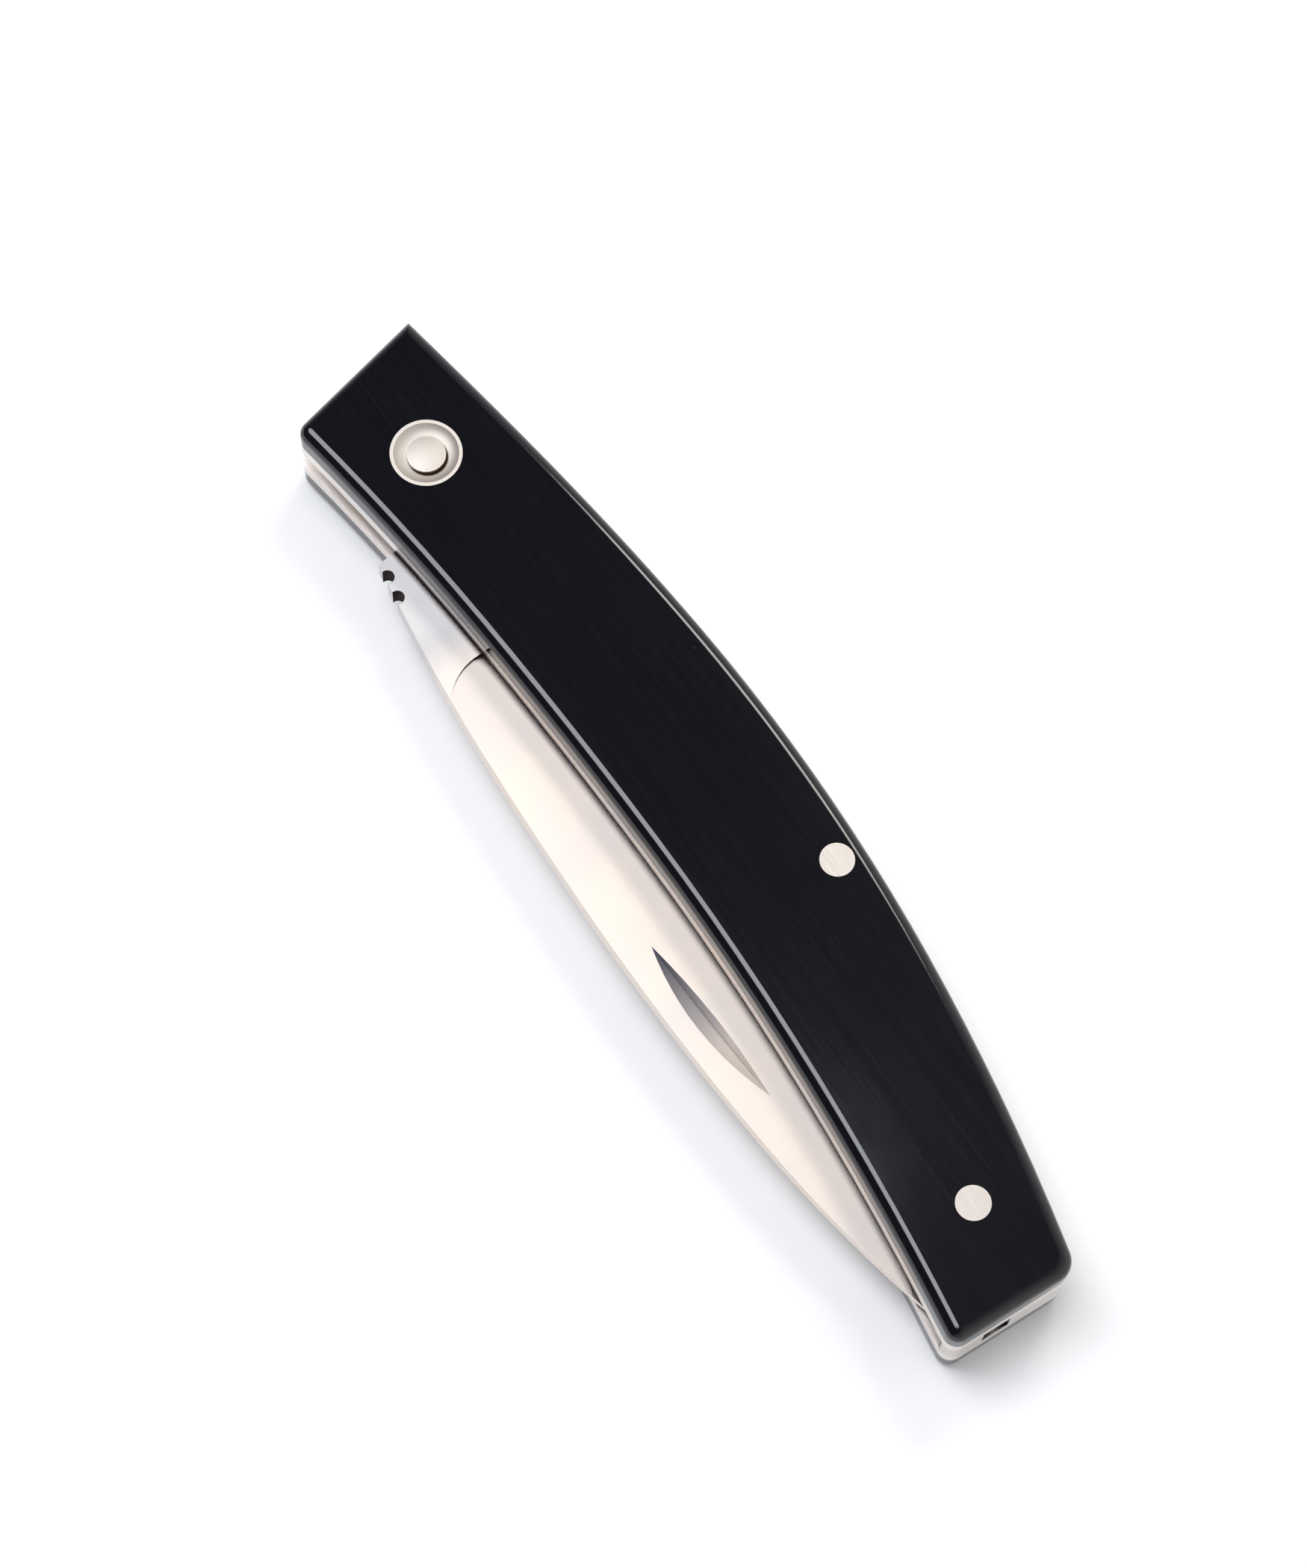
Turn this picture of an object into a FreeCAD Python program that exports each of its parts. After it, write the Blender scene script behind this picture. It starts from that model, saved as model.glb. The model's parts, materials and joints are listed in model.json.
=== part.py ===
import FreeCAD, Part
import math
import os

from FreeCAD import Vector

# A slip-joint folding pocket knife, closed and lying flat on its rear scale.
# It is modelled in millimetres about the blade pivot: X runs along the handle to the tail,
# Y runs across it to the spine, and Z is up through the thickness from the rest face.
# At the end everything moves together so that the origin is under the middle of its box.

# Thickness of the stack
scale_thickness = 2.6
liner_thickness = 1.4
slot_width = 2.3
blade_side_clearance = 0.05

# Corners of the handle, from the pivot
spine_front_reach = 11.85
spine_front_height = 5.75
belly_front_reach = 8.2
belly_front_drop = 8.3
spine_tail_reach = 89.75
spine_tail_height = 4.7
belly_tail_reach = 89.4
belly_tail_drop = 7.45

# Bow of the handle: how far its two long edges stand out from the line between their corners
spine_rise = 6.22
spine_station_shares = (0.22, 0.5, 0.75)
spine_rise_shares = (0.603, 1.0, 0.763)
belly_rise = 3.71
belly_station_shares = (0.2, 0.4, 0.6, 0.8)
belly_rise_shares = (0.637, 0.94, 1.0, 0.681)

# How closely the arcs of a long edge keep to its smooth curve, and the edges that each is cut into
arc_tolerance = 0.05
arc_pieces = 2

# Rounding of the handle
front_belly_corner_radius = 1.2
tail_belly_corner_radius = 1.2
tail_spine_corner_radius = 2.0
scale_edge_radius = 1.1

# Pins and pivot washers
pin_diameter = 3.0
spring_pin_reach = 50.4
spring_pin_edge_distance = 2.75
tail_pin_setback = 8.97
tail_pin_height = 0.7
washer_diameter = 6.35
washer_depth = 0.95
washer_rim_width = 0.3
washer_dish_depth = 0.5
washer_dish_share = 0.7
pin_head_diameter = 3.45
pin_head_seat_gap = 0.2
pin_head_rim_height = 0.25
pin_head_crown = 0.2

# Tang of the blade, in a frame that leans with the handle at the pivot
tang_lean = 9.0
tang_flat_height = 4.3
tang_nose_radius = 5.0
heel_reach = 3.75
heel_height = 9.0
kick_reach = 8.0
kick_step = 0.9
pivot_running_clearance = 0.03
spring_seat_clearance = 0.03
heel_stop_clearance = 0.05

# Blade
tip_clearance = 2.2
tip_depth = 0.6
back_rise = 3.4
back_station_shares = (0.2, 0.45, 0.72)
back_rise_shares = (0.66, 1.0, 0.94)
edge_start_height = 4.0
edge_rise = 3.0
edge_station_shares = (0.3, 0.6, 0.85)
edge_rise_shares = (0.72, 1.0, 0.62)
plunge_reach = 17.0
plunge_radius = 5.4
plunge_turn = 55.0
edge_thickness = 0.3
tip_thickness = 0.9
edge_apex = 0.04
edge_bevel = 20.0

# Thumb notches in the back of the blade
notch_count = 2
notch_diameter = 1.25
notch_first_setback = 1.4
notch_pitch = 2.1
notch_inset = 0.2

# Nail nick in the front of the blade, as a wheel with a bevelled rim cuts it
nick_start_reach = 47.0
nick_length = 16.3
nick_depth = 0.5
nick_back_distance = 3.1
nick_lean = 3.5
nick_slope_width = 1.3
nick_wall_width = 0.5
nick_overcut_share = 2.0

# Back spring
spring_front_depth = 4.9
spring_front_station_share = 0.5
spring_pin_wall = 2.8
spring_waist_share = 0.5
spring_waist_depth = 6.1
tail_block_wall = 2.9
tail_block_corner_radius = 1.0
tail_hook_thickness = 1.3
tail_notch_rise = 3.45
tail_notch_width = 2.6
tail_notch_depth = 0.6

# Working values
blade_thickness = slot_width - 2 * blade_side_clearance
slot_floor = scale_thickness + liner_thickness
slot_roof = slot_floor + slot_width
total_thickness = slot_roof + liner_thickness + scale_thickness
overrun = spine_tail_reach + belly_tail_reach
match_distance = blade_side_clearance
pin_radius = pin_diameter / 2


def plan(reach, height):
    """Point in the plane of the handle."""
    return Vector(reach, height, 0)


def leaning(reach, height):
    """Point given along and across the leaning frame of the tang."""
    turn = FreeCAD.Rotation(Vector(0, 0, 1), tang_lean)
    return turn.multVec(plan(reach, height))


def bowed_points(start, end, rise, station_shares, rise_shares):
    """Points of a long curve that stands out to the left of the line from start to end."""
    line = end - start
    side = Vector(-line.y, line.x, 0).normalize()
    between = [start + line * s + side * (rise * r) for s, r in zip(station_shares, rise_shares)]
    return [start, *between, end]


def smooth_edges(points):
    """Smooth curve through a few points, as short arcs that run on into each other."""
    curve = Part.BSplineCurve()
    curve.interpolate(points)
    pieces = []
    for arc in curve.toBiArcs(arc_tolerance):
        step = (arc.LastParameter - arc.FirstParameter) / arc_pieces
        for number in range(arc_pieces):
            start = arc.FirstParameter + number * step
            pieces.append(arc.toShape(start, start + step))
    return pieces


def straight_edges(points):
    """Straight edges from each point to the next."""
    return [Part.makeLine(a, b) for a, b in zip(points, points[1:])]


def crossing(edges, reach):
    """Point of a long plan curve at a distance along the handle."""
    across = Part.makeLine(plan(reach, -overrun), plan(reach, overrun))
    return Part.Wire(edges).distToShape(across)[1][0][0]


def prism(edges, floor, height):
    """Solid standing on a closed plan outline."""
    face = Part.Face(Part.Wire(Part.sortEdges(edges)[0]))
    face.translate(Vector(0, 0, floor))
    return face.extrude(Vector(0, 0, height))


def upright_edges(solid, point):
    """Vertical edges of a solid over one plan point."""
    def over_point(edge):
        return all(plan(v.X, v.Y).distanceToPoint(point) < match_distance for v in edge.Vertexes)

    return [edge for edge in solid.Edges if over_point(edge)]


def post(centre, radius, floor, height):
    """Upright cylinder over a plan point."""
    return Part.makeCylinder(radius, height, Vector(centre.x, centre.y, floor))


# Long edges of the handle, drawn from the front to the tail
spine_front = plan(-spine_front_reach, spine_front_height)
spine_tail = plan(spine_tail_reach, spine_tail_height)
belly_front = plan(-belly_front_reach, -belly_front_drop)
belly_tail = plan(belly_tail_reach, -belly_tail_drop)
spine_edges = smooth_edges(
    bowed_points(spine_front, spine_tail, spine_rise, spine_station_shares, spine_rise_shares))
belly_edges = smooth_edges(
    bowed_points(belly_front, belly_tail, belly_rise, belly_station_shares, belly_rise_shares))


def tail_point(height, setback):
    """Point at a height across the handle, set back from its tail end."""
    share = (height - belly_tail.y) / (spine_tail.y - belly_tail.y)
    return belly_tail + (spine_tail - belly_tail) * share - plan(setback, 0)


# Centres of the three pins
pivot = plan(0, 0)
spring_pin_centre = crossing(spine_edges, spring_pin_reach) - plan(0, spring_pin_edge_distance)
tail_pin_centre = tail_point(tail_pin_height, tail_pin_setback)
pin_centres = [pivot, spring_pin_centre, tail_pin_centre]


def handle_plate(floor, height):
    """Plate of the handle's whole outline, with its corners rounded."""
    ends = straight_edges([spine_tail, belly_tail]) + straight_edges([belly_front, spine_front])
    plate = prism([*spine_edges, *belly_edges, *ends], floor, height)
    corners = (
        (belly_front, front_belly_corner_radius),
        (belly_tail, tail_belly_corner_radius),
        (spine_tail, tail_spine_corner_radius),
    )
    for corner, radius in corners:
        plate = plate.makeFillet(radius, upright_edges(plate, corner))
    return plate


def drilled(plate, floor, height):
    """Plate with the three pin holes through it."""
    for centre in pin_centres:
        plate = plate.cut(post(centre, pin_radius, floor, height))
    return plate


def make_rear_scale():
    """Rear handle scale with a rounded outer rim, pin holes and a seat for its pivot washer."""
    plate = handle_plate(0, scale_thickness)
    rim = [edge for edge in plate.Edges if edge.BoundBox.ZMax < match_distance]
    plate = plate.makeFillet(scale_edge_radius, rim)
    plate = drilled(plate, 0, scale_thickness)
    return plate.cut(post(pivot, washer_diameter / 2, 0, washer_depth))


def make_liner(floor):
    """Flat steel liner of the handle's outline."""
    return drilled(handle_plate(floor, liner_thickness), floor, liner_thickness)


def make_washer():
    """Dished pivot washer, its rim flush with the top of the front scale."""
    outer = washer_diameter / 2
    rim = outer - washer_rim_width
    floor_radius = pin_head_diameter / 2 + pin_head_seat_gap
    top = total_thickness
    dish_floor = top - washer_dish_depth
    base = top - washer_depth
    middle = Vector((rim + floor_radius) / 2, 0, top - washer_dish_depth * washer_dish_share)
    corners = [
        Vector(floor_radius, 0, dish_floor),
        Vector(pin_radius, 0, dish_floor),
        Vector(pin_radius, 0, base),
        Vector(outer, 0, base),
        Vector(outer, 0, top),
        Vector(rim, 0, top),
    ]
    dish = Part.Arc(corners[-1], middle, corners[0]).toShape()
    face = Part.Face(Part.Wire([*straight_edges(corners), dish]))
    return face.revolve(pivot, Vector(0, 0, 1), 360)


def make_pivot_pin():
    """Pivot pin with a low peened head in the dish of each washer."""
    head = pin_head_diameter / 2
    seat = total_thickness - washer_dish_depth
    crown = seat + pin_head_rim_height + pin_head_crown
    dome_radius = (head ** 2 + pin_head_crown ** 2) / (2 * pin_head_crown)
    dome = Part.makeSphere(dome_radius, Vector(0, 0, crown - dome_radius))
    front_head = post(pivot, head, seat, crown - seat).common(dome)
    rear_head = front_head.mirror(Vector(0, 0, total_thickness / 2), Vector(0, 0, 1))
    shank = post(pivot, pin_radius, washer_dish_depth, seat - washer_dish_depth)
    return shank.multiFuse([front_head, rear_head])


def make_pin(centre):
    """Plain pin, flush with both scales."""
    return post(centre, pin_radius, 0, total_thickness)


def plunge_bend(degrees):
    """Step from the start of the plunge line's bend to a point that far round it."""
    turn = math.radians(degrees)
    return plan(plunge_radius * (1 - math.cos(turn)), -plunge_radius * math.sin(turn))


# Landmarks that the blade and the spring share
tip_reach = belly_tail_reach - tail_hook_thickness - tip_clearance
blade_tip = crossing(belly_edges, tip_reach) + plan(0, tip_depth)
heel_top = leaning(heel_reach, -heel_height)
kick_end = leaning(kick_reach, tang_flat_height)
edge_start = plan(plunge_reach, edge_start_height)
back_edges = smooth_edges(
    bowed_points(heel_top, blade_tip, -back_rise, back_station_shares, back_rise_shares))
cutting_edges = smooth_edges(
    bowed_points(edge_start, blade_tip, edge_rise, edge_station_shares, edge_rise_shares))
plunge_back = crossing(back_edges, plunge_reach + plunge_bend(plunge_turn).x)

# Plane of the flat grind on the front face: full thickness at the back, thin at the edge and tip
grind_base = plunge_back + Vector(0, 0, blade_thickness / 2)
grind_edge = edge_start + Vector(0, 0, edge_thickness / 2)
grind_tip = blade_tip + Vector(0, 0, tip_thickness / 2)
grind_normal = (grind_tip - grind_base).cross(grind_edge - grind_base).normalize()
grind_tilt = FreeCAD.Rotation(Vector(0, 0, 1), grind_normal)


def blade_blank():
    """Flat blank of the blade with its tang, about the middle plane of the slot."""
    nose = math.sqrt(tang_nose_radius ** 2 - tang_flat_height ** 2)
    heel_foot = leaning(heel_reach, -tang_flat_height)
    open_flat_end = leaning(-nose, -tang_flat_height)
    closed_flat_end = leaning(-nose, tang_flat_height)
    kick_foot = leaning(kick_reach + kick_step, tang_flat_height - kick_step)
    tang = straight_edges([heel_top, heel_foot, open_flat_end])
    nose_arc = Part.Arc(open_flat_end, leaning(-tang_nose_radius, 0), closed_flat_end).toShape()
    kick = straight_edges([closed_flat_end, kick_end, kick_foot, edge_start])
    outline = [*back_edges, *cutting_edges, *tang, nose_arc, *kick]
    return prism(outline, -blade_thickness / 2, blade_thickness)


def ground_part():
    """Front half of the slot over the part of the blade that is ground, from the plunge line on."""
    bend_start = plunge_back - plunge_bend(plunge_turn)
    bend_middle = bend_start + plunge_bend(plunge_turn / 2)
    far = [
        plunge_back,
        plan(plunge_back.x, -overrun),
        plan(overrun, -overrun),
        plan(overrun, overrun),
        plan(plunge_reach, overrun),
        bend_start,
    ]
    bend = Part.Arc(bend_start, bend_middle, plunge_back).toShape()
    return prism([bend, *straight_edges(far)], 0, blade_thickness)


def grind_cutter():
    """What the flat grind takes off the front face."""
    block = Part.makeBox(2 * overrun, 2 * overrun, overrun, Vector(-overrun, -overrun, 0))
    block.Placement = FreeCAD.Placement(grind_base, grind_tilt)
    return block.common(ground_part())


def bevel_cutter():
    """What sharpening takes off the front of the cutting edge."""
    rise = (blade_thickness - edge_apex) / 2
    run = rise / math.tan(math.radians(edge_bevel))
    beyond = straight_edges([
        blade_tip,
        blade_tip + plan(overrun, overrun),
        edge_start + plan(0, overrun),
        edge_start,
    ])
    base = Part.Wire(Part.sortEdges([*cutting_edges, *beyond])[0])
    base.translate(Vector(0, 0, edge_apex / 2))
    top = base.makeOffset2D(run, 2)
    top.translate(Vector(0, 0, rise))
    return Part.makeLoft([base, top], True, True).common(ground_part())


def nick_cutter():
    """Rim of the wheel that cuts the nail nick, set into the ground front face."""
    wheel_radius = (nick_length / 2) ** 2 / (2 * nick_depth)
    middle = crossing(back_edges, nick_start_reach + nick_length / 2) + plan(0, nick_back_distance)
    sight = Part.makeLine(middle - Vector(0, 0, overrun), middle + Vector(0, 0, overrun))
    ground_face = Part.makePlane(2 * overrun, 2 * overrun, Vector(-overrun, -overrun, 0))
    ground_face.Placement = FreeCAD.Placement(grind_base, grind_tilt)
    on_face = ground_face.distToShape(sight)[1][0][0]
    apex = Vector(0, 0, -nick_depth)
    rim_height = nick_depth * (nick_overcut_share - 1)
    rim = [
        apex,
        Vector(0, -nick_slope_width * nick_overcut_share, rim_height),
        Vector(0, nick_wall_width * nick_overcut_share, rim_height),
        apex,
    ]
    wheel = Part.Face(Part.Wire(straight_edges(rim)))
    wheel = wheel.revolve(Vector(0, 0, wheel_radius - nick_depth), Vector(0, 1, 0), 360)
    lean = FreeCAD.Rotation(Vector(0, 0, 1), nick_lean)
    wheel.Placement = FreeCAD.Placement(on_face, grind_tilt.multiply(lean))
    return wheel


def make_blade():
    """Blade with its tang, flat grind, sharp edge, nail nick, thumb notches and pivot hole."""
    blade = blade_blank()
    for front_cutter in (grind_cutter(), bevel_cutter()):
        blade = blade.cut(front_cutter)
        blade = blade.cut(front_cutter.mirror(pivot, Vector(0, 0, 1)))
    blade = blade.cut(nick_cutter())
    for number in range(notch_count):
        reach = heel_top.x + notch_first_setback + number * notch_pitch
        centre = crossing(back_edges, reach) + plan(0, notch_inset)
        blade = blade.cut(post(centre, notch_diameter / 2, -blade_thickness, 2 * blade_thickness))
    hole = post(pivot, pin_radius + pivot_running_clearance, -blade_thickness, 2 * blade_thickness)
    blade = blade.cut(hole)
    blade.translate(Vector(0, 0, slot_floor + slot_width / 2))
    return blade


def make_back_spring():
    """Back spring that fills the slot along the spine and closes it at the tail."""
    seat_height = tang_flat_height + spring_seat_clearance
    nib = -(heel_reach - heel_stop_clearance)
    seat_end = leaning(kick_reach, seat_height)
    front_reach = seat_end.x + (spring_pin_centre.x - seat_end.x) * spring_front_station_share
    waist_reach = spring_pin_centre.x + (tail_pin_centre.x - spring_pin_centre.x) * spring_waist_share
    block_floor = tail_pin_centre - plan(0, tail_block_wall)
    inner = smooth_edges([
        seat_end,
        crossing(spine_edges, front_reach) - plan(0, spring_front_depth),
        spring_pin_centre - plan(0, spring_pin_wall),
        crossing(spine_edges, waist_reach) - plan(0, spring_waist_depth),
        block_floor,
    ])
    corner = tail_point(block_floor.y, tail_hook_thickness)
    well = straight_edges([
        block_floor,
        corner,
        tail_point(-overrun, tail_hook_thickness),
        plan(-overrun, -overrun),
        plan(-overrun, overrun),
        leaning(nib, overrun),
        leaning(nib, seat_height),
        seat_end,
    ])
    well = prism([*inner, *well], slot_floor, slot_width)
    well = well.makeFillet(tail_block_corner_radius, upright_edges(well, corner))
    spring = handle_plate(slot_floor, slot_width).cut(well)
    notch_foot = tail_notch_rise - belly_tail_drop
    notch_head = notch_foot + tail_notch_width
    notch = straight_edges([
        tail_point(notch_foot, tail_notch_depth),
        tail_point(notch_foot, -overrun),
        tail_point(notch_head, -overrun),
        tail_point(notch_head, tail_notch_depth),
        tail_point(notch_foot, tail_notch_depth),
    ])
    spring = spring.cut(prism(notch, slot_floor, slot_width))
    return drilled(spring, slot_floor, slot_width)


def make_parts():
    """Every piece by its name, about the pivot. The scales are twins, and so are the washers."""
    rear_scale = make_rear_scale()
    front_washer = make_washer()
    middle = Vector(0, 0, total_thickness / 2)
    return {
        "rear_scale": rear_scale,
        "rear_liner": make_liner(scale_thickness),
        "back_spring": make_back_spring(),
        "blade": make_blade(),
        "front_liner": make_liner(slot_roof),
        "front_scale": rear_scale.mirror(middle, Vector(0, 0, 1)),
        "pivot_pin": make_pivot_pin(),
        "front_pivot_washer": front_washer,
        "rear_pivot_washer": front_washer.mirror(middle, Vector(0, 0, 1)),
        "spring_pin": make_pin(spring_pin_centre),
        "tail_pin": make_pin(tail_pin_centre),
    }


def main():
    os.makedirs("parts", exist_ok=True)
    parts = make_parts()
    box = Part.makeCompound(list(parts.values())).optimalBoundingBox()
    under_middle = plan(-box.Center.x, -box.Center.y)
    for name, shape in parts.items():
        shape.translate(under_middle)
        shape.exportStep(f"parts/{name}.step")
        print(name, "valid", shape.isValid(), "solids", len(shape.Solids), "volume", round(shape.Volume, 2))
    print("box", round(box.XLength, 3), round(box.YLength, 3), round(box.ZLength, 3))
    for name, centre in zip(("pivot", "spring pin", "tail pin"), pin_centres):
        place = centre + under_middle
        print(name, round(place.x, 4), round(place.y, 4))


main()
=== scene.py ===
import json
import math

import bpy
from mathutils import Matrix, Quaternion, Vector

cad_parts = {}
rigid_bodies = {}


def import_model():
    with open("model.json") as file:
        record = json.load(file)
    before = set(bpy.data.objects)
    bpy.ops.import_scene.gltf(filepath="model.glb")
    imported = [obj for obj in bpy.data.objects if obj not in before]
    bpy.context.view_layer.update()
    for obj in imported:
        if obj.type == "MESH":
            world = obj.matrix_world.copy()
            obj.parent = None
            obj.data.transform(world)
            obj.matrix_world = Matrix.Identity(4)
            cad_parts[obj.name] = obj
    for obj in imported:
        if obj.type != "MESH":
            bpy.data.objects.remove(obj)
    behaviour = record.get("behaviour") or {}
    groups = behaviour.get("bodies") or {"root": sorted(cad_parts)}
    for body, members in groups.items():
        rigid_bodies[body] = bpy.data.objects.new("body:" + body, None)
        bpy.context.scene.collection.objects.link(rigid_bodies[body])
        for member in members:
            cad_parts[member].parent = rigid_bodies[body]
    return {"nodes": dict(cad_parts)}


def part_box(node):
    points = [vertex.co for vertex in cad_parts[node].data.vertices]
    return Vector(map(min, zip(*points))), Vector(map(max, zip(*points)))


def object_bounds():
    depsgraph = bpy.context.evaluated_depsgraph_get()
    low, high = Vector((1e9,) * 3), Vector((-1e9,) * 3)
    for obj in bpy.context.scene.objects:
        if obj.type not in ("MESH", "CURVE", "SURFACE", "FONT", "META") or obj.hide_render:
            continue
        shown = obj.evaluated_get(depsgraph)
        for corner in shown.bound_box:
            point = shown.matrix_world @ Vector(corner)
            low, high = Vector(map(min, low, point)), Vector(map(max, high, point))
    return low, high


# The start-up file's own objects go first, so that the box below is the part's alone.
for leftover in list(bpy.data.objects):
    bpy.data.objects.remove(leftover)

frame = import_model()
cad_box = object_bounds()

bl_info = {
    "name": "Slip-joint pocket knife",
    "version": (1, 0, 0),
    "blender": (4, 5, 0),
    "location": "View3D > Sidebar > Pocket knife",
    "description": "Finishes and studio for a folding pocket knife with black horn scales",
    "category": "Object",
}

MM = 0.001

# Most of a noise texture's values lie between these two.
NOISE_LOW = 0.3
NOISE_HIGH = 0.7
NOISE_DETAIL = 2

# Rays that look for walls round a place.
OCCLUSION_SAMPLES = 8

# Share of the camera's distance that it starts to see from.
CLIP_SHARE = 0.01

# Sockets of a mix node: its share, then the two numbers or the two colours that it mixes.
SHARE = 0
LOW = 2
HIGH = 3
UNDER = 6
OVER = 7

# What makes a mix node one for colours.
COLOUR_MIX = {"output": 2, "data_type": "RGBA"}

# Watts that an area lamp needs for each square metre to look as bright as white paper.
LAMP_WATTS = 4


def linear(hex_colour):
    """sRGB hex text as a linear colour."""
    channels = [int(hex_colour[i:i + 2], 16) / 255 for i in (0, 2, 4)]
    return [c / 12.92 if c <= 0.04045 else ((c + 0.055) / 1.055) ** 2.4 for c in channels]


def opaque(colour):
    """Colour with full alpha, as a colour socket takes it."""
    return (*colour, 1.0)


def towards(azimuth, elevation):
    """Unit vector to a place in the sky. Azimuth 0 is in front, on the -Y side, and 90 on the +X side."""
    flat = math.cos(elevation)
    return Vector((math.sin(azimuth) * flat, -math.cos(azimuth) * flat, math.sin(elevation)))


def colour_property(name, hex_colour, description):
    """A colour that a user may change."""
    return bpy.props.FloatVectorProperty(
        name=name, description=description, subtype="COLOR", size=3, min=0, max=1,
        default=linear(hex_colour))


def length_property(name, millimetres, description):
    """A length that a user may change."""
    return bpy.props.FloatProperty(
        name=name, description=description, unit="LENGTH", precision=5, default=millimetres * MM)


def place_property(name, along, across, description):
    """A place on the knife, in millimetres from the pivot, that a user may change."""
    return bpy.props.FloatVectorProperty(
        name=name, description=description, subtype="XYZ_LENGTH", size=2, precision=5,
        default=(along * MM, across * MM))


def angle_property(name, degrees, description):
    """An angle that a user may change."""
    return bpy.props.FloatProperty(
        name=name, description=description, subtype="ANGLE", default=math.radians(degrees))


def level_property(name, value, description):
    """A plain number that a user may change."""
    return bpy.props.FloatProperty(name=name, description=description, min=0, default=value)


class KnifeFinish(bpy.types.PropertyGroup):
    """Colours of the finishes, and the sizes of their patterns."""

    # Horn of the scales
    horn_dark: colour_property("Horn", "07070d", "Black of the buffed horn scales")
    horn_light: colour_property("Horn fibre", "0d0d14", "Paler fibres in the horn")
    horn_speck: colour_property("Horn speck", "33363d", "Dust and tiny pits on the horn")
    horn_fibre_width: length_property("Horn fibre width", 0.35, "Width of one horn fibre")
    horn_fibre_length: length_property("Horn fibre length", 14, "Length of one horn fibre")
    horn_wave: length_property("Horn wave", 8, "Spacing of the shallow waves that hand sanding leaves")
    horn_wave_height: length_property("Horn wave height", 0.008, "Height of those waves")
    horn_speck_spacing: length_property("Speck spacing", 2.2, "Mean distance between places for a speck")
    horn_speck_size: length_property("Speck size", 0.07, "Radius of a speck")
    horn_speck_share: level_property("Speck share", 0.2, "Share of those places that hold a speck")
    horn_refraction: level_property("Horn refraction", 1.56, "Index of refraction of horn")
    horn_rough_low: level_property("Horn roughness, smooth", 0.08, "Roughness of the best buffed fibres")
    horn_rough_high: level_property("Horn roughness, dull", 0.1, "Roughness of the dullest fibres")

    # Steel of the blade, the liners and the spring
    blade_steel: colour_property("Blade steel", "f0e9e4", "Satin blade steel")
    blade_tone: colour_property("Blade steel, warm", "f3e8dd", "Warmer tone where the steel was wiped")
    ricasso_steel: colour_property("Ricasso steel", "dcd9d8", "Greyer steel of the tang and ricasso")
    grind_reach: length_property("Grind start", 14, "Distance from the pivot to the ground part")
    grind_fade: length_property("Grind fade", 3, "Length that the grind's curved start takes up")
    grind_tilt: angle_property("Grind tilt", 3.94, "Slope of the blade's ground front face")
    blade_rough_low: level_property("Blade roughness, smooth", 0.66, "Roughness of the wiped steel")
    blade_rough_high: level_property("Blade roughness, dull", 0.72, "Roughness of the rest of the blade")
    liner_steel: colour_property("Liner steel", "e6e1de", "Ground edge of the liners")
    liner_tone: colour_property("Liner steel, warm", "e8dfd6", "Warmer tone on the liners")
    liner_rough_low: level_property("Liner roughness, smooth", 0.34, "Roughness of their smooth places")
    liner_rough_high: level_property("Liner roughness, dull", 0.44, "Roughness of their dull places")
    spring_steel: colour_property("Spring steel", "d8d4d0", "Ground spring steel")
    spring_tone: colour_property("Spring steel, warm", "d6ccc2", "Warmer tone on the spring")
    spring_rough_low: level_property("Spring roughness, smooth", 0.34, "Roughness of its smooth places")
    spring_rough_high: level_property("Spring roughness, dull", 0.46, "Roughness of its dull places")

    # Marks and painted shade on the steel. Grinding lines are finer in life, and are drawn coarser here so
    # that they show.
    line_spacing: length_property("Grinding line", 0.09, "Spacing of the fine lines that grinding leaves")
    line_length: length_property("Grinding line length", 6, "Length of those lines")
    line_depth: length_property("Grinding line depth", 0.004, "Depth of those lines")
    smudge_size: length_property("Smudge", 7, "Size of the faint smudges left by wiping")
    # Painted shade on the walls of the thumb notches: its colour, the notches' places and size, and how far
    # it reaches.
    notch_painted_shade: colour_property("Notch stain", "2a1a16", "Old oil on the walls of the thumb notches")
    rear_notch: place_property("Rear notch", 6.512, -8.317, "Middle of the notch nearer the pivot")
    front_notch: place_property("Front notch", 8.612, -8.62, "Middle of the other notch")
    notch_radius: length_property("Notch radius", 0.625, "Radius of a thumb notch")
    notch_margin: length_property("Notch margin", 0.02, "How far the stain reaches over a notch's wall")
    # Painted shade on the walls of the nail nick, darkest at its end near the pivot.
    nick_painted_shade: colour_property("Nick stain", "545870", "Old oil on the walls of the nail nick")
    nick: place_property("Nick", 55.25, -7.47, "Middle of the nail nick")
    nick_lean: angle_property("Nick lean", 3.4, "Turn of the nail nick from the knife's length")
    nick_reach: length_property("Nick reach", 8.6, "Distance from its middle that its ends keep within")
    nick_half_width: length_property("Nick half width", 2.2, "Distance that its walls keep within")
    nick_slope: angle_property("Nick slope", 6, "Least slope of the nick's walls from the ground face")
    nick_shade_near_share: level_property("Nick oil, near", 1, "Share of oil at the nick's end near the pivot")
    nick_shade_far_share: level_property("Nick oil, far", 0.1, "Share of oil at the nick's other end")
    nick_shade_fade_share: level_property("Nick fade", 0.25, "Share of its reach where the oil gets thin")
    # Painted shade that greys the steel in corners and slots, where walls are near.
    painted_slot_shade: colour_property("Grime", "33282b", "Old oil that greys the steel in corners and slots")
    slot_shade_reach: length_property("Grime reach", 1.3, "How near a wall has to be for oil to stay")
    slot_shade_start_share: level_property("Grime start", 0.71, "Open share of space where oil starts")
    slot_shade_full_share: level_property("Grime full", 0.65, "Open share where it covers the steel")

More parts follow.
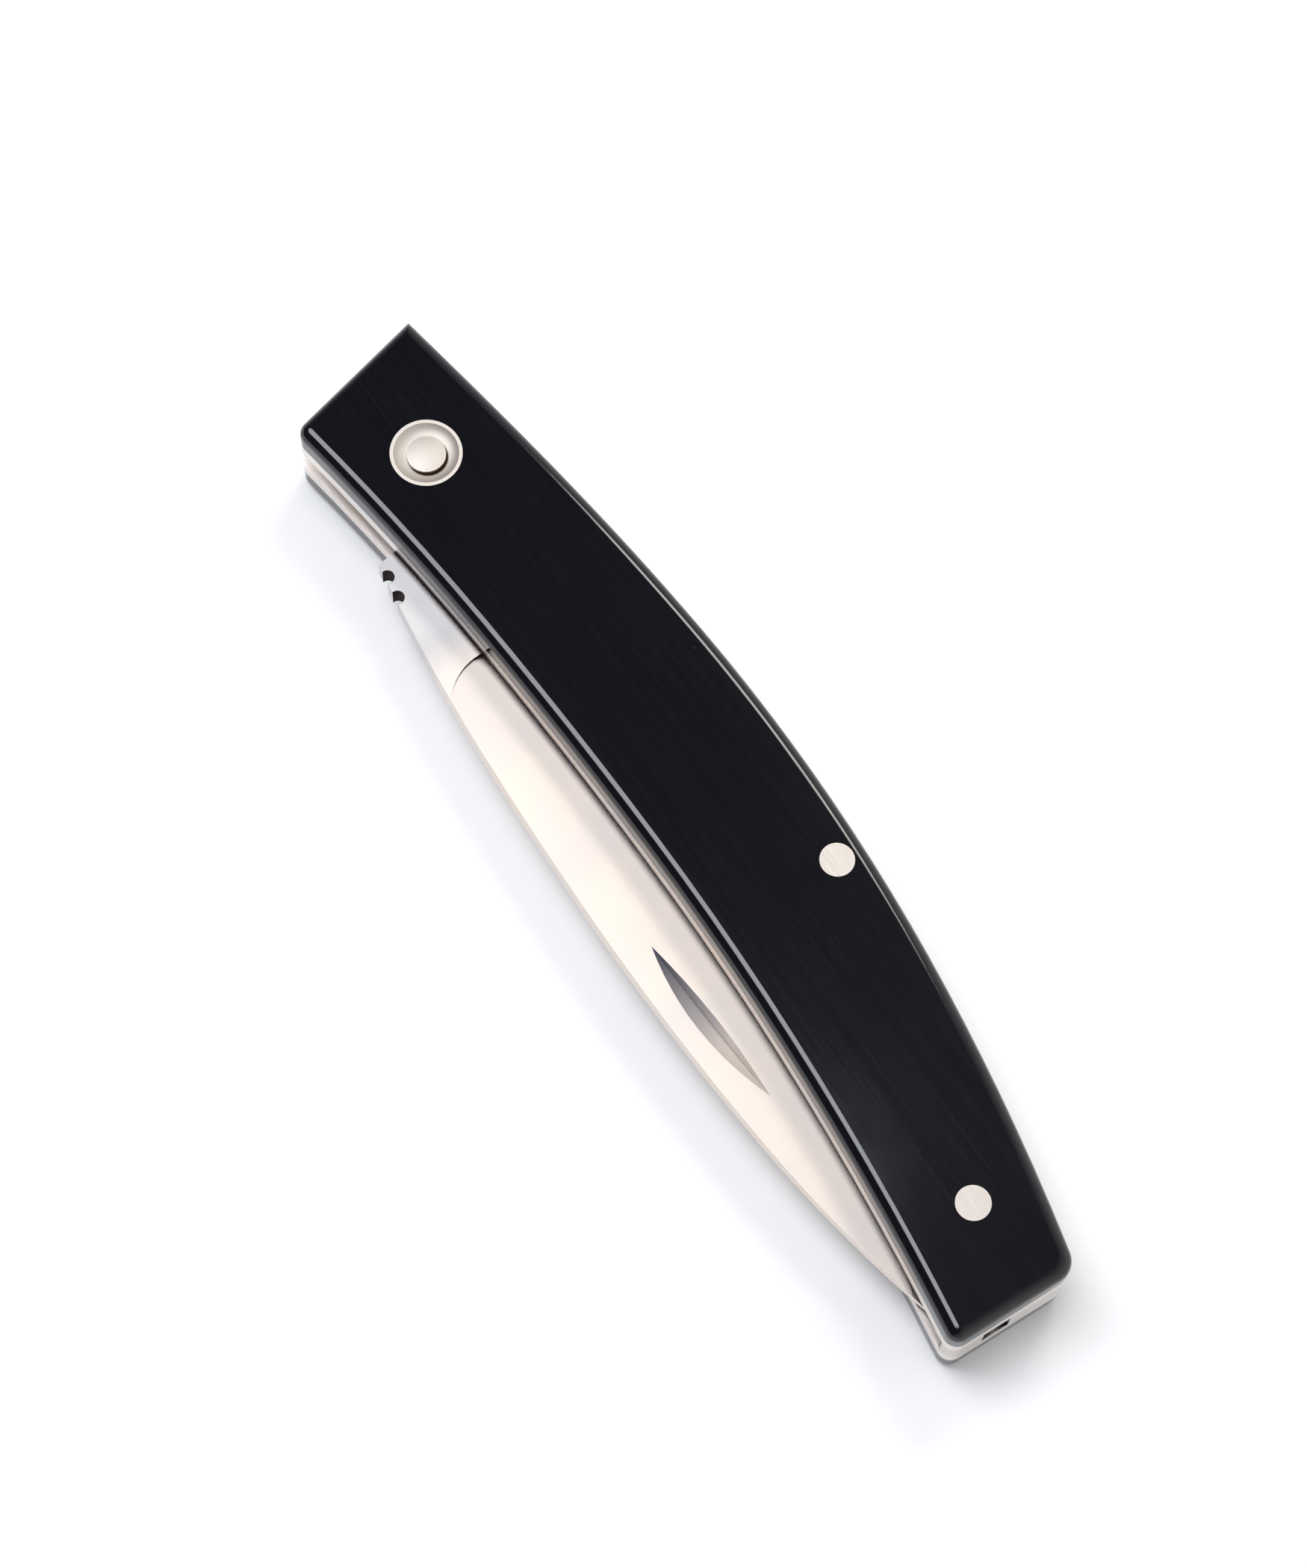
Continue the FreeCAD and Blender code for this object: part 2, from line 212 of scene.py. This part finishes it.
    # Nickel silver of the pins and washers, with turning and sanding marks drawn coarser than in life
    nickel_silver: colour_property("Nickel silver", "cfc8bf", "Warm white alloy of the pins and washers")
    # Joint stain: a brown stain together with a painted shadow of the pin head's rim.
    joint_stain_and_shadow: colour_property("Joint stain", "2e1a0e", "Brown stain of old oil round the pin head")
    turned_rough_low: level_property("Turned roughness, smooth", 0.55, "Roughness between its marks")
    turned_rough_high: level_property("Turned roughness, dull", 0.65, "Roughness on its marks")
    sanded_rough_low: level_property("Sanded roughness, smooth", 0.55, "Roughness between its marks")
    sanded_rough_high: level_property("Sanded roughness, dull", 0.65, "Roughness on its marks")
    turning_spacing: length_property("Turning mark", 0.11, "Spacing of the rings that turning leaves")
    sanding_spacing: length_property("Sanding mark", 0.08, "Spacing of the scratches on the plain pins")
    mark_depth: length_property("Mark depth", 0.006, "Depth of turning and sanding marks")
    # Shift, fade and strength of the crescent of stain and painted shadow round the pin head.
    stain_and_shadow_shift: length_property("Stain shift", 0.25, "How far the stain lies to one side of the pin head")
    stain_and_shadow_fade: length_property("Stain fade", 0.15, "Width over which the stain fades out")
    stain_and_shadow_strength: level_property("Stain strength", 1, "How strong the stain is beside the pin head")


class KnifeStage(bpy.types.PropertyGroup):
    """Camera and floor, and the room round them."""

    aim: place_property("Aim", 36.345, -0.685, "Place that the camera looks at")
    camera_distance: length_property("Camera distance", 321.79, "Distance to what the camera looks at")
    camera_azimuth: angle_property("Camera azimuth", 51.34, "Place of the camera round the knife")
    camera_elevation: angle_property("Camera elevation", 69.26, "Height of the camera above the horizon")
    camera_roll: angle_property("Camera roll", 5, "Turn of the camera about its own line of sight")
    camera_lens: level_property("Lens", 87.79, "Focal length in millimetres on a 36 mm sensor")
    floor_colour: colour_property("Floor", "f4f4f4", "White paper floor")
    floor_lift: level_property("Floor lift", 0.13, "Extra white seen directly and in reflections")
    floor_size: length_property("Floor size", 8000, "Width of the paper floor")
    room_colour: colour_property("Room", "57575f", "Dim part of the room, which the scale mirrors")
    surround_colour: colour_property("Surround", "ffffff", "White surround")
    room_azimuth: angle_property("Room azimuth", -30, "Place of the dim part's middle round the knife")
    room_elevation: angle_property("Room elevation", 50, "Height of the dim part's middle")
    room_reach: angle_property("Room reach", 48, "How far the dim part reaches from its middle")
    surround_start: angle_property("Surround start", 110, "How far from there the surround is fully white")
    surround_power: level_property("Surround power", 0.7, "How late the surround brightens")


class RimLamp(bpy.types.PropertyGroup):
    """Smaller soft box behind the spine, which draws the bright line along it."""

    azimuth: angle_property("Rim azimuth", -151, "Place of the rim lamp round the knife")
    elevation: angle_property("Rim elevation", 54, "Height of the rim lamp")
    distance: length_property("Rim distance", 420, "Distance of the rim lamp from the knife")
    width: length_property("Rim width", 130, "Width of its soft box")
    height: length_property("Rim height", 85, "Height of its soft box")
    brightness: level_property("Rim brightness", 7, "How bright it looks, as a multiple of white paper")
    colour: colour_property("Rim colour", "fffaf4", "Colour of its light")


class TopLamp(bpy.types.PropertyGroup):
    """Large soft box over the belly, which gives most of the light."""

    azimuth: angle_property("Top azimuth", -58, "Place of the top lamp round the knife")
    elevation: angle_property("Top elevation", 70, "Height of the top lamp")
    distance: length_property("Top distance", 600, "Distance of the top lamp from the knife")
    width: length_property("Top width", 300, "Width of its soft box")
    height: length_property("Top height", 450, "Height of its soft box")
    brightness: level_property("Top brightness", 5.3, "How bright it looks, as a multiple of white paper")
    colour: colour_property("Top colour", "f6f9ff", "Colour of its light")


def add_node(tree, kind, inputs=None, output=0, **settings):
    """Add a node with its settings, set or link its inputs, and give one of its outputs."""
    node = tree.nodes.new(kind)
    for key, value in settings.items():
        setattr(node, key, value)
    for key, value in (inputs or {}).items():
        if isinstance(value, bpy.types.NodeSocket):
            tree.links.new(value, node.inputs[key])
        else:
            node.inputs[key].default_value = value
    return node.outputs[output] if node.outputs else None


def empty_tree(owner):
    """Node tree of a material or a world, with nothing in it."""
    owner.use_nodes = True
    owner.node_tree.nodes.clear()
    return owner.node_tree


def grain(tree, place, length, spacing):
    """Irregular lines along X, such as fibres, of a real length and spacing, from 0 to 1."""
    stretched = add_node(
        tree, "ShaderNodeMapping", {"Vector": place, "Scale": (1 / length, 1 / spacing, 1 / spacing)})
    noise = add_node(
        tree, "ShaderNodeTexNoise", {"Vector": stretched, "Scale": 1, "Detail": NOISE_DETAIL})
    return add_node(
        tree, "ShaderNodeMapRange", {"Value": noise, "From Min": NOISE_LOW, "From Max": NOISE_HIGH})


def patches(tree, place, size):
    """Soft patches of a real size, from 0 to 1."""
    noise = add_node(
        tree, "ShaderNodeTexNoise", {"Vector": place, "Scale": 1 / size, "Detail": NOISE_DETAIL})
    return add_node(
        tree, "ShaderNodeMapRange", {"Value": noise, "From Min": NOISE_LOW, "From Max": NOISE_HIGH})


def finish_surface(tree, inputs):
    """Principled surface on the material's output."""
    surface = add_node(tree, "ShaderNodeBsdfPrincipled", inputs)
    add_node(tree, "ShaderNodeOutputMaterial", {"Surface": surface})


def horn_material(finish):
    """Black buffalo horn, sanded and buffed: near black, with faint fibres and a soft gloss."""
    material = bpy.data.materials.new("buffed_black_horn")
    tree = empty_tree(material)
    place = add_node(tree, "ShaderNodeTexCoord", output="Object")
    fibres = grain(tree, place, finish.horn_fibre_length, finish.horn_fibre_width)
    waves = patches(tree, place, finish.horn_wave)
    pale = add_node(tree, "ShaderNodeMath", {0: fibres, 1: waves}, operation="MULTIPLY")
    colour = add_node(
        tree, "ShaderNodeMix",
        {SHARE: pale, UNDER: opaque(finish.horn_dark), OVER: opaque(finish.horn_light)}, **COLOUR_MIX)

    # Specks are the middles of a few of the cells.
    cells = {"Vector": place, "Scale": 1 / finish.horn_speck_spacing}
    distance = add_node(tree, "ShaderNodeTexVoronoi", cells, output="Distance")
    draw = add_node(tree, "ShaderNodeTexVoronoi", cells, output="Color")
    speck_reach = finish.horn_speck_size / finish.horn_speck_spacing
    small = add_node(tree, "ShaderNodeMath", {0: distance, 1: speck_reach}, operation="LESS_THAN")
    drawn = add_node(tree, "ShaderNodeMath", {0: draw, 1: finish.horn_speck_share}, operation="LESS_THAN")
    speck = add_node(tree, "ShaderNodeMath", {0: small, 1: drawn}, operation="MULTIPLY")
    colour = add_node(
        tree, "ShaderNodeMix",
        {SHARE: speck, UNDER: colour, OVER: opaque(finish.horn_speck)}, **COLOUR_MIX)

    finish_surface(tree, {
        "Base Color": colour,
        "Roughness": add_node(
            tree, "ShaderNodeMix",
            {SHARE: fibres, LOW: finish.horn_rough_low, HIGH: finish.horn_rough_high}),
        "IOR": finish.horn_refraction,
        "Normal": add_node(tree, "ShaderNodeBump", {"Height": waves, "Distance": finish.horn_wave_height}),
    })
    return material


def blade_tone_and_painted_shade(tree, place, painted, finish):
    """Blade's colour with a greyer ricasso, and painted shade in its thumb notches and nail nick."""
    pivot = pivot_centre()
    grind_start = pivot.x + finish.grind_reach
    along = add_node(tree, "ShaderNodeSeparateXYZ", {"Vector": place}, output="X")
    ground = add_node(tree, "ShaderNodeMapRange", {
        "Value": along, "From Min": grind_start, "From Max": grind_start + finish.grind_fade})
    painted = add_node(
        tree, "ShaderNodeMix",
        {SHARE: ground, UNDER: opaque(finish.ricasso_steel), OVER: painted}, **COLOUR_MIX)

    flat = add_node(tree, "ShaderNodeMapping", {"Vector": place, "Scale": (1, 1, 0)})
    # Painted shade on the walls of both thumb notches.
    for notch in (finish.rear_notch, finish.front_notch):
        middle = (pivot.x + notch[0], pivot.y + notch[1], 0)
        distance = add_node(
            tree, "ShaderNodeVectorMath", {0: flat, 1: middle}, output="Value", operation="DISTANCE")
        wall = add_node(
            tree, "ShaderNodeMath", {0: distance, 1: finish.notch_radius + finish.notch_margin},
            operation="LESS_THAN")
        painted = add_node(
            tree, "ShaderNodeMix",
            {SHARE: wall, UNDER: painted, OVER: opaque(finish.notch_painted_shade)}, **COLOUR_MIX)

    # The nick's walls are what slopes away from the ground face inside an oval round the nick.
    oval = add_node(tree, "ShaderNodeMapping", {
        "Vector": flat, "Location": (pivot.x + finish.nick[0], pivot.y + finish.nick[1], 0),
        "Rotation": (0, 0, finish.nick_lean), "Scale": (finish.nick_reach, finish.nick_half_width, 1)},
        vector_type="TEXTURE")
    distance = add_node(tree, "ShaderNodeVectorMath", {0: oval}, output="Value", operation="LENGTH")
    inside = add_node(tree, "ShaderNodeMath", {0: distance, 1: 1}, operation="LESS_THAN")
    facing = add_node(tree, "ShaderNodeTexCoord", output="Normal")
    upright = (0, math.sin(finish.grind_tilt), math.cos(finish.grind_tilt))
    levelness = add_node(
        tree, "ShaderNodeVectorMath", {0: facing, 1: upright}, output="Value", operation="DOT_PRODUCT")
    sloped = add_node(
        tree, "ShaderNodeMath", {0: levelness, 1: math.cos(finish.nick_slope)}, operation="LESS_THAN")
    wall = add_node(tree, "ShaderNodeMath", {0: inside, 1: sloped}, operation="MULTIPLY")

    # The painted shade is darkest at the nick's end near the pivot, which is at -1 along the oval.
    along = add_node(tree, "ShaderNodeSeparateXYZ", {"Vector": oval}, output="X")
    shade_share = add_node(tree, "ShaderNodeMapRange", {
        "Value": along, "From Min": -1, "From Max": finish.nick_shade_fade_share,
        "To Min": finish.nick_shade_near_share, "To Max": finish.nick_shade_far_share})
    painted_shade = add_node(tree, "ShaderNodeMath", {0: wall, 1: shade_share}, operation="MULTIPLY")
    return add_node(
        tree, "ShaderNodeMix",
        {SHARE: painted_shade, UNDER: painted, OVER: opaque(finish.nick_painted_shade)}, **COLOUR_MIX)


def ground_steel_material(name, finish, colour, tone, rough_low, rough_high, marks=None):
    """Steel ground along its length: bright, with fine lines that spread its reflections, and painted shade
    in its slots and corners.
    """
    material = bpy.data.materials.new(name)
    tree = empty_tree(material)
    place = add_node(tree, "ShaderNodeTexCoord", output="Object")
    lines = grain(tree, place, finish.line_length, finish.line_spacing)
    smudges = patches(tree, place, finish.smudge_size)
    painted = add_node(
        tree, "ShaderNodeMix",
        {SHARE: smudges, UNDER: opaque(colour), OVER: opaque(tone)}, **COLOUR_MIX)
    if marks:
        painted = marks(tree, place, painted, finish)

    # Painted shade: the steel is greyed where walls lie near it, deep in a slot or a corner.
    open_share = add_node(
        tree, "ShaderNodeAmbientOcclusion", {"Distance": finish.slot_shade_reach}, output="AO",
        samples=OCCLUSION_SAMPLES)
    painted_slot_shade = add_node(tree, "ShaderNodeMapRange", {
        "Value": open_share, "From Min": finish.slot_shade_full_share, "From Max": finish.slot_shade_start_share,
        "To Min": 1, "To Max": 0})
    painted = add_node(
        tree, "ShaderNodeMix",
        {SHARE: painted_slot_shade, UNDER: painted, OVER: opaque(finish.painted_slot_shade)}, **COLOUR_MIX)
    finish_surface(tree, {
        "Base Color": painted,
        "Metallic": 1,
        "Roughness": add_node(tree, "ShaderNodeMix", {SHARE: smudges, LOW: rough_high, HIGH: rough_low}),
        "Normal": add_node(tree, "ShaderNodeBump", {"Height": lines, "Distance": finish.line_depth}),
    })
    return material


def turned_nickel_material(finish, axis, joint_radius):
    """Nickel silver turned on a lathe: warm white, with fine rings, and a brown stain with a painted shadow
    in the joint.
    """
    material = bpy.data.materials.new("turned_nickel_silver")
    tree = empty_tree(material)
    place = add_node(tree, "ShaderNodeTexCoord", output="Object")
    flat = add_node(
        tree, "ShaderNodeMapping", {"Vector": place, "Location": (-axis.x, -axis.y, 0), "Scale": (1, 1, 0)})
    radius = add_node(tree, "ShaderNodeVectorMath", {0: flat}, output="Value", operation="LENGTH")
    steps = add_node(tree, "ShaderNodeMath", {0: radius, 1: finish.turning_spacing}, operation="DIVIDE")
    rings = add_node(
        tree, "ShaderNodeTexNoise", {"W": steps, "Scale": 1, "Detail": NOISE_DETAIL}, noise_dimensions="1D")

    # The brown stain and a painted shadow of the head's rim make a crescent between the head and a circle
    # beside it.
    beside = add_node(tree, "ShaderNodeMapping", {"Vector": flat, "Location": (-finish.stain_and_shadow_shift, 0, 0)})
    distance = add_node(tree, "ShaderNodeVectorMath", {0: beside}, output="Value", operation="LENGTH")
    near = add_node(tree, "ShaderNodeMapRange", {
        "Value": distance, "From Min": joint_radius, "From Max": joint_radius + finish.stain_and_shadow_fade,
        "To Min": finish.stain_and_shadow_strength, "To Max": 0})
    outside = add_node(tree, "ShaderNodeMath", {0: radius, 1: joint_radius}, operation="GREATER_THAN")
    # Crescent of brown stain and painted shadow beside the pin head.
    stain = add_node(tree, "ShaderNodeMath", {0: near, 1: outside}, operation="MULTIPLY")
    finish_surface(tree, {
        "Base Color": add_node(
            tree, "ShaderNodeMix",
            {SHARE: stain, UNDER: opaque(finish.nickel_silver), OVER: opaque(finish.joint_stain_and_shadow)},
            **COLOUR_MIX),
        "Metallic": 1,
        "Roughness": add_node(
            tree, "ShaderNodeMix",
            {SHARE: rings, LOW: finish.turned_rough_low, HIGH: finish.turned_rough_high}),
        "Normal": add_node(tree, "ShaderNodeBump", {"Height": rings, "Distance": finish.mark_depth}),
    })
    return material


def sanded_nickel_material(finish):
    """Nickel silver sanded flush with the horn: warm white, dulled by fine straight scratches."""
    material = bpy.data.materials.new("sanded_nickel_silver")
    tree = empty_tree(material)
    place = add_node(tree, "ShaderNodeTexCoord", output="Object")
    scratches = grain(tree, place, finish.line_length, finish.sanding_spacing)
    finish_surface(tree, {
        "Base Color": opaque(finish.nickel_silver),
        "Metallic": 1,
        "Roughness": add_node(
            tree, "ShaderNodeMix",
            {SHARE: scratches, LOW: finish.sanded_rough_low, HIGH: finish.sanded_rough_high}),
        "Normal": add_node(tree, "ShaderNodeBump", {"Height": scratches, "Distance": finish.mark_depth}),
    })
    return material


def pivot_centre():
    """Middle of the pivot pin."""
    low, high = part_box("pivot_pin")
    return (low + high) / 2


def dress(names, material):
    """Give solids of the frame one finish."""
    for name in names:
        solid = frame["nodes"][name]
        solid.data.materials.clear()
        solid.data.materials.append(material)


class DressScales(bpy.types.Operator):
    """Finish the two handle scales as buffed black horn"""

    bl_idname = "knife.dress_scales"
    bl_label = "Handle scales"

    def execute(self, context):
        finish = context.scene.knife_finish
        dress(["front_scale", "rear_scale"], horn_material(finish))
        return {"FINISHED"}


class DressLiners(bpy.types.Operator):
    """Finish the two liners as ground steel"""

    bl_idname = "knife.dress_liners"
    bl_label = "Liners"

    def execute(self, context):
        finish = context.scene.knife_finish
        steel = ground_steel_material(
            "ground_liner_steel", finish, finish.liner_steel, finish.liner_tone,
            finish.liner_rough_low, finish.liner_rough_high)
        dress(["front_liner", "rear_liner"], steel)
        return {"FINISHED"}


class DressSpring(bpy.types.Operator):
    """Finish the back spring as ground spring steel"""

    bl_idname = "knife.dress_spring"
    bl_label = "Back spring"

    def execute(self, context):
        finish = context.scene.knife_finish
        steel = ground_steel_material(
            "ground_spring_steel", finish, finish.spring_steel, finish.spring_tone,
            finish.spring_rough_low, finish.spring_rough_high)
        dress(["back_spring"], steel)
        return {"FINISHED"}


class DressBlade(bpy.types.Operator):
    """Finish the blade as satin steel, with painted shade in its thumb notches and nail nick"""

    bl_idname = "knife.dress_blade"
    bl_label = "Blade"

    def execute(self, context):
        finish = context.scene.knife_finish
        steel = ground_steel_material(
            "satin_blade_steel", finish, finish.blade_steel, finish.blade_tone,
            finish.blade_rough_low, finish.blade_rough_high, blade_tone_and_painted_shade)
        dress(["blade"], steel)
        return {"FINISHED"}


class DressPivot(bpy.types.Operator):
    """Finish the pivot pin and its washers as turned nickel silver"""

    bl_idname = "knife.dress_pivot"
    bl_label = "Pivot pin and washers"

    def execute(self, context):
        finish = context.scene.knife_finish
        low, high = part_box("pivot_pin")
        nickel = turned_nickel_material(finish, pivot_centre(), (high.x - low.x) / 2)
        dress(["pivot_pin", "front_pivot_washer", "rear_pivot_washer"], nickel)
        return {"FINISHED"}


class DressPins(bpy.types.Operator):
    """Finish the two plain pins as sanded nickel silver"""

    bl_idname = "knife.dress_pins"
    bl_label = "Spring pin and tail pin"

    def execute(self, context):
        finish = context.scene.knife_finish
        dress(["spring_pin", "tail_pin"], sanded_nickel_material(finish))
        return {"FINISHED"}


def make_floor(stage):
    """White paper floor that keeps the knife's soft shadow."""
    half = stage.floor_size / 2
    level = cad_box[0].z
    mesh = bpy.data.meshes.new("paper_floor")
    corners = [(-half, -half, level), (half, -half, level), (half, half, level), (-half, half, level)]
    mesh.from_pydata(corners, [], [(0, 1, 2, 3)])
    floor = bpy.data.objects.new("paper_floor", mesh)
    bpy.context.scene.collection.objects.link(floor)
    material = bpy.data.materials.new("white_paper")
    tree = empty_tree(material)
    matt = add_node(tree, "ShaderNodeBsdfDiffuse", {"Color": opaque(stage.floor_colour)})
    seen = add_node(tree, "ShaderNodeLightPath", output="Is Camera Ray")
    for ray in ("Is Glossy Ray", "Is Transmission Ray"):
        also = add_node(tree, "ShaderNodeLightPath", output=ray)
        seen = add_node(tree, "ShaderNodeMath", {0: seen, 1: also}, operation="MAXIMUM")
    lift = add_node(tree, "ShaderNodeMath", {0: seen, 1: stage.floor_lift}, operation="MULTIPLY")
    glow = add_node(tree, "ShaderNodeEmission", {"Strength": lift})
    both = add_node(tree, "ShaderNodeAddShader", {0: matt, 1: glow})
    add_node(tree, "ShaderNodeOutputMaterial", {"Surface": both})
    mesh.materials.append(material)


def make_room(stage):
    """White surround with one dim part, as a black flag over the knife gives."""
    world = bpy.data.worlds.new("studio_room")
    tree = empty_tree(world)
    place = add_node(tree, "ShaderNodeTexCoord", output="Generated")
    middle = towards(stage.room_azimuth, stage.room_elevation)
    nearness = add_node(
        tree, "ShaderNodeVectorMath", {0: place, 1: middle}, output="Value", operation="DOT_PRODUCT")
    away = add_node(tree, "ShaderNodeMapRange", {
        "Value": nearness, "From Min": math.cos(stage.room_reach),
        "From Max": math.cos(stage.surround_start)})
    share = add_node(tree, "ShaderNodeMath", {0: away, 1: stage.surround_power}, operation="POWER")
    colour = add_node(
        tree, "ShaderNodeMix",
        {SHARE: share, UNDER: opaque(stage.room_colour), OVER: opaque(stage.surround_colour)}, **COLOUR_MIX)
    sky = add_node(tree, "ShaderNodeBackground", {"Color": colour})
    add_node(tree, "ShaderNodeOutputWorld", {"Surface": sky})
    bpy.context.scene.world = world


def make_lamp(name, settings):
    """Soft box that faces the middle of the knife."""
    data = bpy.data.lights.new(name, "AREA")
    data.shape = "RECTANGLE"
    data.size = settings.width
    data.size_y = settings.height
    data.energy = settings.brightness * settings.width * settings.height * LAMP_WATTS
    data.color = settings.colour
    lamp = bpy.data.objects.new(name, data)
    out = towards(settings.azimuth, settings.elevation)
    lamp.location = (cad_box[0] + cad_box[1]) / 2 + out * settings.distance
    lamp.rotation_mode = "QUATERNION"
    lamp.rotation_quaternion = out.to_track_quat("Z", "Y")
    lamp.visible_camera = False
    bpy.context.scene.collection.objects.link(lamp)


def make_camera(stage):
    """Camera at the photograph's place."""
    pivot = pivot_centre()
    aim = Vector((pivot.x + stage.aim[0], pivot.y + stage.aim[1], cad_box[1].z))
    back = towards(stage.camera_azimuth, stage.camera_elevation)
    data = bpy.data.cameras.new("photo_camera")
    data.lens = stage.camera_lens
    data.clip_start = stage.camera_distance * CLIP_SHARE
    data.clip_end = stage.floor_size * 2
    camera = bpy.data.objects.new("photo_camera", data)
    camera.location = aim + back * stage.camera_distance
    camera.rotation_mode = "QUATERNION"
    turn = back.to_track_quat("Z", "Y")
    turn.rotate(Quaternion(back, stage.camera_roll))
    camera.rotation_quaternion = turn
    bpy.context.scene.collection.objects.link(camera)
    bpy.context.scene.camera = camera


class BuildStage(bpy.types.Operator):
    """Set up the paper floor, the soft lamps and the camera"""

    bl_idname = "knife.build_stage"
    bl_label = "Stage"

    def execute(self, context):
        scene = context.scene
        make_floor(scene.knife_stage)
        make_room(scene.knife_stage)
        make_lamp("rim_lamp", scene.knife_rim_lamp)
        make_lamp("top_lamp", scene.knife_top_lamp)
        make_camera(scene.knife_stage)
        scene.view_settings.view_transform = "Standard"
        return {"FINISHED"}


class KnifePanel(bpy.types.Panel):
    """Panel of the knife's steps and settings"""

    bl_idname = "VIEW3D_PT_pocket_knife"
    bl_label = "Pocket knife"
    bl_space_type = "VIEW_3D"
    bl_region_type = "UI"
    bl_category = "Pocket knife"

    def draw(self, context):
        for step in steps:
            self.layout.operator(step.bl_idname)
        for group in groups:
            settings = getattr(context.scene, group)
            for name in settings.__annotations__:
                self.layout.prop(settings, name)


groups = {
    "knife_finish": KnifeFinish,
    "knife_stage": KnifeStage,
    "knife_rim_lamp": RimLamp,
    "knife_top_lamp": TopLamp,
}
steps = [DressScales, DressLiners, DressSpring, DressBlade, DressPivot, DressPins, BuildStage]
classes = [*groups.values(), *steps, KnifePanel]


def register():
    """Add the steps, the panel and the settings."""
    for item in classes:
        bpy.utils.register_class(item)
    for name, group in groups.items():
        setattr(bpy.types.Scene, name, bpy.props.PointerProperty(type=group))


def unregister():
    """Take away the settings, the panel and the steps."""
    for name in groups:
        delattr(bpy.types.Scene, name)
    for item in reversed(classes):
        bpy.utils.unregister_class(item)


def main():
    """Run every step."""
    register()
    bpy.ops.knife.dress_scales()
    bpy.ops.knife.dress_liners()
    bpy.ops.knife.dress_spring()
    bpy.ops.knife.dress_blade()
    bpy.ops.knife.dress_pivot()
    bpy.ops.knife.dress_pins()
    bpy.ops.knife.build_stage()


if __name__ == "__main__":
    main()
